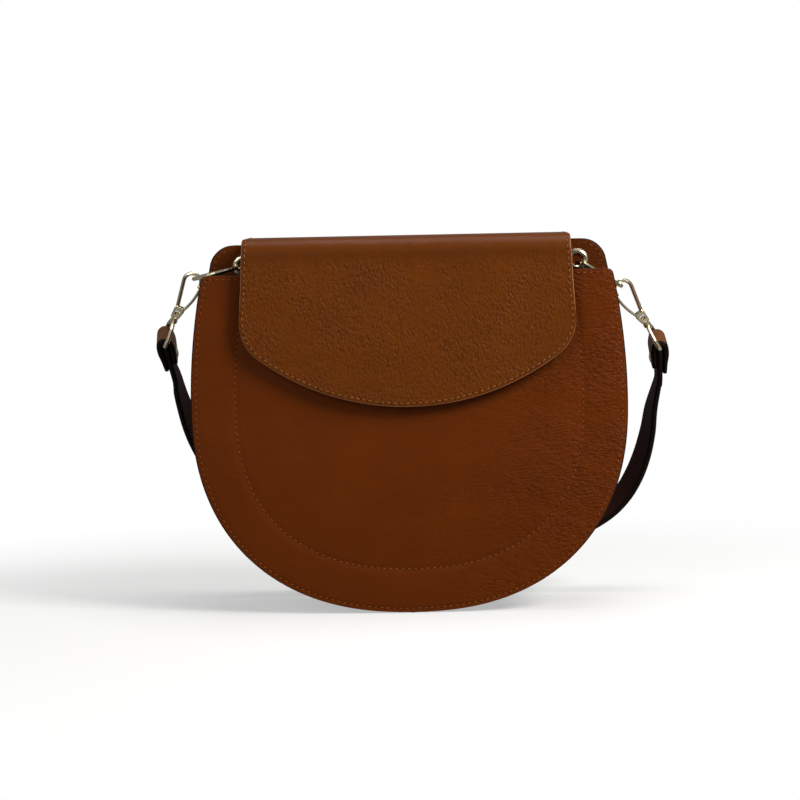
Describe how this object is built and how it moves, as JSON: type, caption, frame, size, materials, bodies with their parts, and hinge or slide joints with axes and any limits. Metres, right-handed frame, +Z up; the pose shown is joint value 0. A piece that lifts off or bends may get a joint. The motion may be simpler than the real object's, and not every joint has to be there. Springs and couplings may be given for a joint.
{
  "type": "crossbody bag",
  "caption": "Rounded leather saddle-shaped crossbody bag with a magnet flap, side rings with snap hooks and a wide buckled shoulder strap.",
  "frame": {"origin": "middle of the front panel's bottom edge", "axes": "+X to the bag's right as seen from the front, +Y from the front panel to the back panel, +Z up to the flap's bend"},
  "size_m": [0.3051, 0.1001, 0.2163],
  "materials": {
    "tan_leather": "pebbled satin leather",
    "dark_leather": "smooth dark brown leather",
    "lining_cloth": "matt woven cloth",
    "pale_gold": "polished pale gold plating"
  },
  "bodies": {
    "bag": {"front_panel": "tan_leather", "back_panel": "tan_leather", "back_facing": "tan_leather", "gusset": "tan_leather", "flap_yoke": "tan_leather", "lining": "lining_cloth", "slip_pocket": "lining_cloth", "zip_pocket_bag": "lining_cloth", "zip_tape": "lining_cloth", "magnet_socket": "pale_gold", "magnet_socket_plate": "pale_gold", "eyelet_right": "pale_gold", "eyelet_washer_right": "pale_gold", "eyelet_left": "pale_gold", "eyelet_washer_left": "pale_gold"},
    "flap": {"flap_leather": "tan_leather", "flap_lining": "dark_leather", "magnet_stud": "pale_gold", "magnet_stud_plate": "pale_gold"},
    "end_ring_right": {"ring_right": "pale_gold"},
    "end_ring_left": {"ring_left": "pale_gold"},
    "strap": {"strap_long": "dark_leather", "strap_short": "dark_leather", "strap_tab_right": "tan_leather", "strap_tab_left": "tan_leather", "tab_rivet_right": "pale_gold", "tab_rivet_left": "pale_gold", "loop_right": "pale_gold", "loop_left": "pale_gold", "buckle_frame": "pale_gold", "keeper_fixed": "dark_leather"},
    "snap_hook_right": {"hook_right": "pale_gold"},
    "snap_hook_left": {"hook_left": "pale_gold"},
    "hook_gate_right": {"gate_right": "pale_gold"},
    "hook_gate_left": {"gate_left": "pale_gold"},
    "buckle_prong": {"prong": "pale_gold"},
    "loose_keeper": {"keeper_loose": "dark_leather"},
    "slider": {"zip_slider": "pale_gold"},
    "puller": {"zip_puller": "pale_gold"}
  },
  "joints": [
    {"name": "flap_bend", "type": "hinge", "parent": "bag", "child": "flap", "pos_m": [0, 0.05941, 0.2088], "axis": [-1, 0, 0], "range_deg": [0, 150]},
    {"name": "strap_swing", "type": "hinge", "parent": "bag", "child": "strap", "pos_m": [0.12607, 0.05579, 0.18358], "axis": [0.9993, 0, -0.0367], "range_deg": [0, 8]},
    {"name": "ring_turn_right", "type": "hinge", "parent": "bag", "child": "end_ring_right", "pos_m": [0.10178, 0.05579, 0.19906], "axis": [0, 1, 0], "range_deg": [-0.5, 0.5]},
    {"name": "ring_turn_left", "type": "hinge", "parent": "bag", "child": "end_ring_left", "pos_m": [-0.0989, 0.05579, 0.19959], "axis": [0, -1, 0], "range_deg": [-0.5, 1]},
    {"name": "hook_swivel_right", "type": "hinge", "parent": "strap", "child": "snap_hook_right", "pos_m": [0.14039, 0.06157, 0.16179], "axis": [-0.5174, -0.2164, 0.8279], "range_deg": [-10, 10]},
    {"name": "hook_swivel_left", "type": "hinge", "parent": "strap", "child": "snap_hook_left", "pos_m": [-0.13928, 0.06157, 0.1699], "axis": [0.4432, -0.2164, 0.8699], "range_deg": [-10, 10]},
    {"name": "gate_turn_right", "type": "hinge", "parent": "snap_hook_right", "child": "hook_gate_right", "pos_m": [0.13541, 0.06034, 0.16523], "axis": [-0.1147, 0.9763, 0.1836], "range_deg": [0, 18], "stiffness_Nm_per_rad": 0.002, "springref_deg": -17.19},
    {"name": "gate_turn_left", "type": "hinge", "parent": "snap_hook_left", "child": "hook_gate_left", "pos_m": [-0.13462, 0.06034, 0.17377], "axis": [-0.0983, -0.9763, -0.1928], "range_deg": [0, 18], "stiffness_Nm_per_rad": 0.002, "springref_deg": -17.19},
    {"name": "prong_lift", "type": "hinge", "parent": "strap", "child": "buckle_prong", "pos_m": [-0.08542, 0.0814, 0.03011], "axis": [0, -1, 0], "range_deg": [0, 12]},
    {"name": "keeper_slide", "type": "slide", "parent": "strap", "child": "loose_keeper", "axis": [-0.6858, 0, 0.7278], "range_m": [-0.003, 0.008]},
    {"name": "zip_slide", "type": "slide", "parent": "bag", "child": "slider", "axis": [1, 0, 0], "range_m": [0, 0.133]},
    {"name": "puller_swing", "type": "hinge", "parent": "slider", "child": "puller", "pos_m": [-0.0665, 0.05053, 0.15793], "axis": [-1, 0, 0], "range_deg": [0, 160]}
  ]
}
